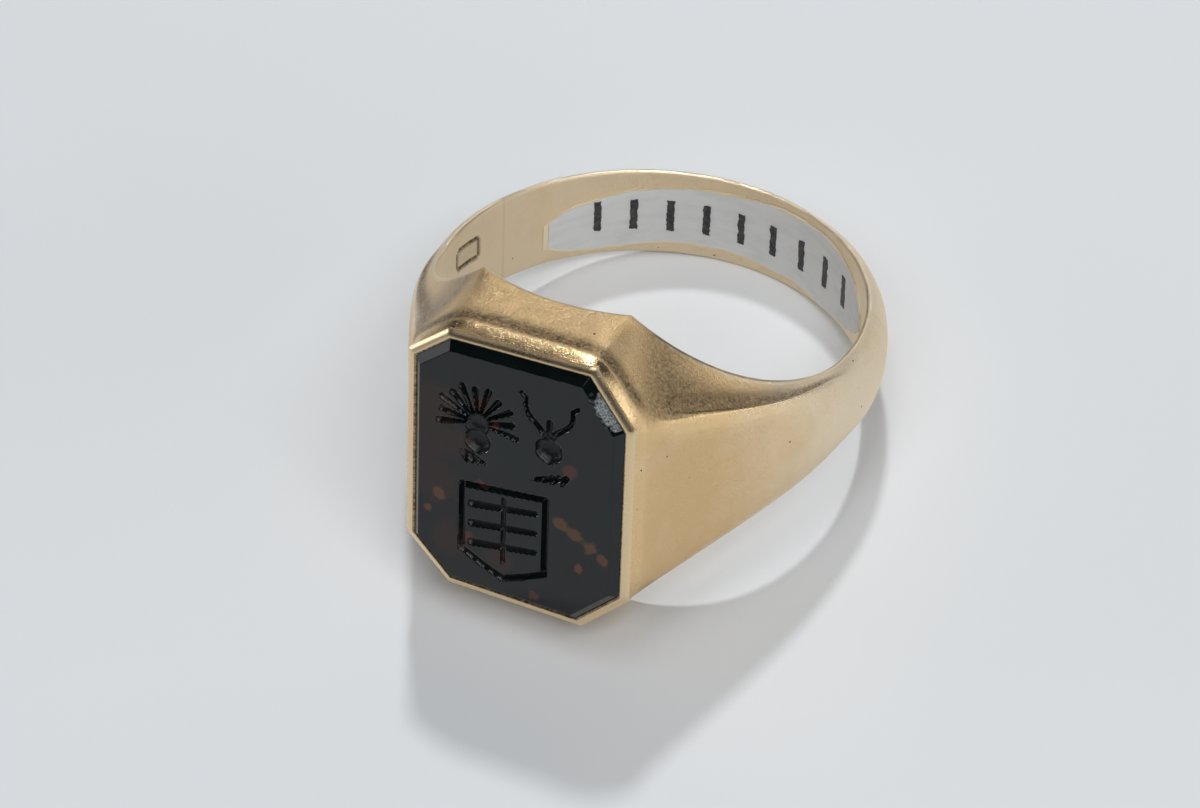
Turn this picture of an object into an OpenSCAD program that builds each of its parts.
// Signet ring lying on its side: an octagonal bloodstone seal, set in a gold head on a half-round shank.
// Millimetres. Every piece is drawn with the finger axis along Z and the head towards -Y,
// and at_rest() then tips the whole ring onto the table it lies on.

/* [Finger hole] */
// Radius of the finger hole
bore_r = 9; // [8:0.25:10]

/* [Shank] */
// Half of the shank's width, along the finger axis
shank_half_w = 2.13; // [1.6:0.05:2.8]
// Thickness of the shank at its middle
shank_t = 1; // [0.8:0.05:1.4]
// Thickness of the shank at its rounded edges
shank_edge_t = 0.3; // [0.1:0.05:0.5]
// Angle from the middle of the head to each solder joint
joint_angle = 109; // [100:1:120]
// Width of the solder film in a joint
solder_w = 0.12; // [0.05:0.01:0.2]

/* [Head] */
// Distance from the finger axis to the front of the head
head_front = 11.9; // [11.4:0.1:13]
// Half of the head's height at the finger hole
head_back_half_h = 7.1; // [6.6:0.1:8]
// Angle from the middle of the head to each corner of the facets, seen at the finger hole
corner_angle = 22; // [19:1:24]
// How many degrees the facets are off centre towards the left
corner_shift = 1.5; // [0:0.5:2]
// Angle at the finger hole where the scooped sides take over from the corner facets
scoop_angle = 31; // [28:1:34]
// Depth of the hollow in the scooped sides
scoop_depth = 0.3; // [0:0.05:0.5]

/* [Setting] */
// Thickness of the collet strip
collet_t = 0.28; // [0.2:0.02:0.4]
// Width of the head's sloping front edge, outside the collet
front_edge_w = 0.3; // [0.1:0.05:0.5]
// Depth of the head's sloping front edge
front_edge_h = 0.7; // [0.3:0.05:1]
// How far the collet stands proud of the head
collet_proud = 0.06; // [0.02:0.02:0.2]
// Distance from the finger axis to the floor of the setting
seat_floor = 9.9; // [9.7:0.05:10.2]
// Height of the bearer ledge under the stone
bearer_h = 0.45; // [0.3:0.05:0.8]
// Width of the bearer ledge
bearer_w = 0.6; // [0.4:0.05:1]

/* [Stone] */
// Half width of the stone across the ring
stone_half_w = 4.75; // [4:0.05:5]
// Half height of the stone along the finger axis
stone_half_h = 6.08; // [5.5:0.05:6.3]
// How much higher the right end of the top edge is than the left end
top_edge_rise = 0.3; // [0:0.05:0.4]
// Distance from the stone's girdle to its table
bevel_h = 0.38; // [0.2:0.02:0.6]
// Width of the bevel round the table
bevel_w = 0.4; // [0.2:0.05:0.8]
// Depth of the carved shield
carving_depth = 0.3; // [0.1:0.05:0.5]

/* [Label] */
// Thickness of each film of the label
film_t = 0.03; // [0.02:0.01:0.05]
// Angle from the middle of the head to each end of the white patch
patch_angle = 127; // [120:1:150]
// Upper edge of the white patch, measured from the shank's middle
patch_top = 1.2; // [0.8:0.1:1.6]
// Lower edge of the white patch, measured from the shank's middle
patch_bottom = -1.5; // [-1.7:0.1:-0.8]
// Margin of clear lacquer round the white patch
lacquer_margin = 0.25; // [0.1:0.05:0.4]
// Number of ink ticks
tick_count = 9; // [1:1:15]

/* [Hidden] */
bore_fn = 180;
// Cuts at the stone's corners, as [across the ring, along the finger axis]
cut_top_left = [1.6, 1.5];
cut_top_right = [1.65, 2.05];
cut_bottom_right = [1.9, 1.85];
cut_bottom_left = [1.75, 1.75];
// Shape of the outlines that run from the head into the shank
fade_angle = 90;
inner_fade = 1.95;
ridge_fade_r = 4.2;
ridge_fade_z = 1.85;
crown_fade = 1.5;
ridge_half_w = 1.95;
crown_power = 2.2;
// Counts of points in a section and of sections along each stretch
scoop_n = 5;
crown_n = 10;
facet_n = 5;
corner_n = 4;
shoulder_n = 22;
arm_n = 5;
core_r = bore_r - 1;
// The sweep runs past the joints with a leaning end, and the joints then cut it square
end_lean = 4;
overrun = 6;
edge_clear = 0.02;

shank_r = bore_r + shank_t;
rim_w = collet_t + front_edge_w;
ridge_front = head_front - front_edge_h;
// The ring rests on the head's lower left back corner and on the shank's lower inner edge
corner_back = bore_r * cos(side_corner(-1));
tilt = atan2(head_back_half_h - shank_half_w, bore_r + corner_back);
front_reach = (head_front + bevel_h) * cos(tilt) + (stone_half_h - bevel_w) * sin(tilt);
back_reach = max([for (p = shank_profile()) p[0] * cos(tilt) + p[1] * sin(tilt)]);
floor_z = corner_back * sin(tilt) - head_back_half_h * cos(tilt);

// ---- Outlines ----

function lerp(a, b, t) = a + (b - a) * t;
// Point at an angle round the finger axis, from the middle of the head towards +X
function polar(angle, r, z) = [r * sin(angle), -r * cos(angle), z];

// Outline of the stone's girdle, clockwise from the lower end of the top left cut
function girdle() = let (w = stone_half_w, h = stone_half_h, rise = top_edge_rise / 2) [
    [-w, h - cut_top_left[1]], [-w + cut_top_left[0], h - rise],
    [w - cut_top_right[0], h + rise], [w, h - cut_top_right[1]],
    [w, -h + cut_bottom_right[1]], [w - cut_bottom_right[0], -h],
    [-w + cut_bottom_left[0], -h], [-w, -h + cut_bottom_left[1]]];

// A clockwise outline with every edge moved outwards by g
function grown(pts, g) = let (n = len(pts)) [for (i = [0:n - 1])
    let (before = pts[(i + n - 1) % n], here = pts[i], after = pts[(i + 1) % n],
        u = (here - before) / norm(here - before), v = (after - here) / norm(after - here),
        out_u = [-u[1], u[0]], out_v = [-v[1], v[0]])
    here + (out_u + out_v) * g / (1 + out_u * out_v)];

// Half section of the shank, as [radius, z], from the inner lower edge round to the inner upper edge
function shank_profile() = concat([[bore_r, -shank_half_w]],
    [for (i = [0:crown_n]) crown_point(i / crown_n)], [[bore_r, shank_half_w]]);
function crown_point(t) = let (v = 2 * t - 1)
    [lerp(shank_r, bore_r + shank_edge_t, pow(abs(v), crown_power)), v * ridge_half_w];

// ---- Sections along the head and shoulders ----

// Height of the finger hole's edge at an angle from the middle of the head
function side_corner(side) = corner_angle - side * corner_shift;
function inner_z(side, angle) = let (corner = side_corner(side), left = (fade_angle - angle) / (fade_angle - corner))
    angle <= corner ? head_back_half_h : angle >= fade_angle ? shank_half_w
    : lerp(shank_half_w, head_back_half_h, pow(left, inner_fade));

// Corner of the head's front: side is 1 on the right, up is 1 at the top, outer is true beside the shank
function front_corner(side, up, outer) = let (outline = grown(girdle(), rim_w),
    i = up > 0 ? (side > 0 ? (outer ? 3 : 2) : (outer ? 0 : 1)) : (side > 0 ? (outer ? 4 : 5) : (outer ? 7 : 6)))
    [outline[i][0], -ridge_front, outline[i][1]];
function front_middle(up) = lerp(front_corner(-1, up, false), front_corner(1, up, false), 0.5);

// The outer face is flat beside the head and grows a crown towards the shank
function shoulder_swell(t) = (shank_t - shank_edge_t) * pow(t, crown_fade);
// Ridge between scooped side and outer face, on the shoulder
function shoulder_ridge(side, up, angle) = let (start = front_corner(side, up, true),
    start_angle = front_angle(side), start_r = norm([start[0], ridge_front]),
    left = max(0, (fade_angle - angle) / (fade_angle - start_angle)),
    r = lerp(shank_r, start_r, pow(left, ridge_fade_r)) - shoulder_swell(1 - left),
    z = lerp(ridge_half_w, abs(start[2]), pow(left, ridge_fade_z)))
    polar(side * angle, r, up * z);

// A station is [side, stretch, t]: stretch 0 is the front facet, 1 the corner, 2 the shoulder, 3 the arm
function inner_angle(s) = s[1] == 0 ? side_corner(s[0]) * s[2]
    : s[1] == 1 ? lerp(side_corner(s[0]), scoop_angle, s[2])
    : s[1] == 2 ? lerp(scoop_angle, fade_angle, s[2]) : lerp(fade_angle, joint_angle + overrun, s[2]);
function inner_point(s, up, r) = let (a = inner_angle(s)) polar(s[0] * (a + lean(s) * up), r, up * inner_z(s[0], a));
function lean(s) = s[1] == 3 ? end_lean * s[2] : 0;
function ridge_point(s, up) = s[1] == 0 ? lerp(front_middle(up), front_corner(s[0], up, false), s[2])
    : s[1] == 1 ? lerp(front_corner(s[0], up, false), front_corner(s[0], up, true), s[2])
    : s[1] == 2 ? shoulder_ridge(s[0], up, lerp(front_angle(s[0]), fade_angle, s[2]))
    : shoulder_ridge(s[0], up, inner_angle(s) + lean(s) * up * ridge_half_w / shank_half_w);
function front_angle(side) = atan2(abs(front_corner(side, 1, true)[0]), ridge_front);
// How far the outer face swells between its two ridges
function crown_h(s) = s[1] < 2 ? 0 : shoulder_swell(s[1] == 3 ? 1 : s[2]);
function hollow(s) = scoop_depth * (s[1] == 1 ? s[2] : s[1] == 2 ? 1 - s[2] : 0);

function scoop(s, up) = let (a = inner_point(s, up, bore_r + edge_clear), b = ridge_point(s, up),
    inward = -[b[0], b[1], 0] / norm([b[0], b[1]]) - [0, 0, up])
    [for (i = [0:scoop_n]) let (t = i / scoop_n) lerp(a, b, t) + inward * hollow(s) * 4 * t * (1 - t) * 0.7];
function crown(s) = let (a = ridge_point(s, -1), b = ridge_point(s, 1))
    [for (i = [1:crown_n - 1]) let (t = i / crown_n, p = lerp(a, b, t),
        swell = crown_h(s) * (1 - pow(abs(2 * t - 1), crown_power)))
        p + [p[0], p[1], 0] / norm([p[0], p[1]]) * swell];
function backwards(v) = [for (i = [len(v) - 1:-1:0]) v[i]];
function section(s) = concat([inner_point(s, -1, core_r)], scoop(s, -1), crown(s),
    backwards(scoop(s, 1)), [inner_point(s, 1, core_r)]);

function stretch(side, k, n) = [for (i = [1:n]) [side, k, i / n]];
function one_side(side) = concat(stretch(side, 0, facet_n), stretch(side, 1, corner_n),
    stretch(side, 2, shoulder_n), stretch(side, 3, arm_n));

// Closed solid through a row of sections with flat ends
module skin(rows) {
    n = len(rows[0]);
    last = len(rows) - 1;
    sides = [for (i = [0:last - 1]) for (j = [0:n - 1])
        let (k = (j + 1) % n, p = i * n) each [[p + j, p + n + j, p + n + k], [p + j, p + n + k, p + k]]];
    polyhedron(concat([for (row = rows) each row]),
        concat(sides, [[for (j = [0:n - 1]) j]], [backwards([for (j = [0:n - 1]) last * n + j])]), convexity = 6);
}

// ---- Helpers for the pieces ----

module at_rest() {
    translate([0, (front_reach - back_reach) / 2, -floor_z]) rotate([-tilt, 0, 0]) children();
}

// Prism of an outline, from one distance in front of the finger axis to another
module slab(outline, from, to) {
    rotate([90, 0, 0]) translate([0, 0, from]) linear_extrude(to - from) polygon(outline);
}

// Solid through outlines, each at its own distance in front of the finger axis, the foremost first
module stack(levels) {
    skin([for (level = levels) [for (p = level[0]) [p[0], -level[1], p[1]]]]);
}

// Part of a turned shape between two angles from the middle of the head
module arc(from, to) {
    rotate([0, 0, from - 90]) rotate_extrude(angle = to - from, $fn = bore_fn) children();
}

// Film on the inner wall between two angles and two heights
module film(from, to, bottom, top, outer, thickness) {
    arc(from, to) translate([outer - thickness, bottom]) square([thickness, top - bottom]);
}

// ---- Pieces ----

// Sloping edge that closes the front of the head round the collet
module front_edge() {
    stack([[grown(girdle(), 1.25 * collet_t), head_front], [grown(girdle(), rim_w - edge_clear), ridge_front],
        [grown(girdle(), rim_w - front_edge_w / 2), ridge_front - collet_t]]);
}

// Head with both shoulders
module signet_head() {
    color("#c9a671") at_rest() difference() {
        union() {
            skin([for (s = concat(backwards(one_side(1)), [[1, 0, 0]], one_side(-1))) section(s)]);
            front_edge();
        }
        rotate([0, 0, 90]) cylinder(r = bore_r, h = 4 * head_back_half_h, center = true, $fn = bore_fn);
        arc(joint_angle, 360 - joint_angle)
            translate([core_r - 1, -2 * shank_half_w]) square([shank_t + 4, 4 * shank_half_w]);
        slab(grown(girdle(), collet_t), seat_floor, head_front + 1);
    }
}

// Half-round hoop between the two solder joints
module shank() {
    half_gap = solder_w / bore_r * 180 / PI;
    color("#cfae7a") at_rest() arc(joint_angle + half_gap, 360 - joint_angle - half_gap) polygon(shank_profile());
}

// Two films of solder, each filling the gap between a shoulder and the shank
module shank_solder_joints() {
    half_gap = solder_w / bore_r * 180 / PI;
    color("#d9b46a") at_rest() for (start = [joint_angle, 360 - joint_angle - half_gap])
        arc(start, start + half_gap) polygon(shank_profile());
}

// Strip of gold bent to the stone's outline
module bezel_collet() {
    color("#d8b478") at_rest() difference() {
        slab(grown(girdle(), collet_t), seat_floor, head_front + collet_proud);
        slab(girdle(), seat_floor - 1, head_front + collet_proud + 1);
    }
}

// Ledge inside the collet that carries the stone
module stone_bearer() {
    color("#b8935a") at_rest() difference() {
        slab(girdle(), seat_floor, seat_floor + bearer_h);
        slab(grown(girdle(), -bearer_w), seat_floor - 1, seat_floor + bearer_h + 1);
    }
}

// Bed of cement inside the bearer
module setting_cement() {
    color("#5a4632") at_rest() slab(grown(girdle(), -bearer_w), seat_floor, seat_floor + bearer_h);
}

// Plain shield, standing for the carved seal
function shield() = let (w = 1.9, top = 0.6, side = -2.2, tip = -4) concat(
    [[-w, top], [w, top], [w, side]],
    [for (i = [1:5]) [w * cos(i * 15), side + (tip - side) * sin(i * 15)]], [[0, tip]],
    [for (i = [5:-1:1]) [-w * cos(i * 15), side + (tip - side) * sin(i * 15)]], [[-w, side]]);

// Bevelled tablet with the carved shield in its table
module seal_stone() {
    table = grown(girdle(), -bevel_w);
    color("#22282a") at_rest() difference() {
        stack([[table, head_front + bevel_h], [girdle(), head_front], [girdle(), seat_floor + bearer_h]]);
        slab(shield(), head_front + bevel_h - carving_depth, head_front + bevel_h + 1);
    }
}

// Clear lacquer under the paint
module label_barrier_coat() {
    margin_angle = lacquer_margin / bore_r * 180 / PI;
    color("#dcc9a0") at_rest() film(patch_angle - margin_angle, 360 - patch_angle + margin_angle,
        patch_bottom - lacquer_margin, patch_top + lacquer_margin, bore_r, film_t);
}

// White patch on the lacquer
module label_white_paint() {
    color("#e4e7ea") at_rest() film(patch_angle, 360 - patch_angle, patch_bottom, patch_top, bore_r - film_t, film_t);
}

// Plain upright ticks in ink along the patch
module label_ink_ticks() {
    tick_angle = 1.1;
    margin = 0.6;
    first = patch_angle + 12;
    pitch = (360 - 2 * first) / max(1, tick_count - 1);
    color("#26262a") at_rest() for (i = [0:tick_count - 1])
        film(first + i * pitch - tick_angle, first + i * pitch + tick_angle,
            patch_bottom + margin, patch_top - margin, bore_r - 2 * film_t, film_t);
}

signet_head();
shank();
shank_solder_joints();
bezel_collet();
stone_bearer();
setting_cement();
seal_stone();
label_barrier_coat();
label_white_paint();
label_ink_ticks();
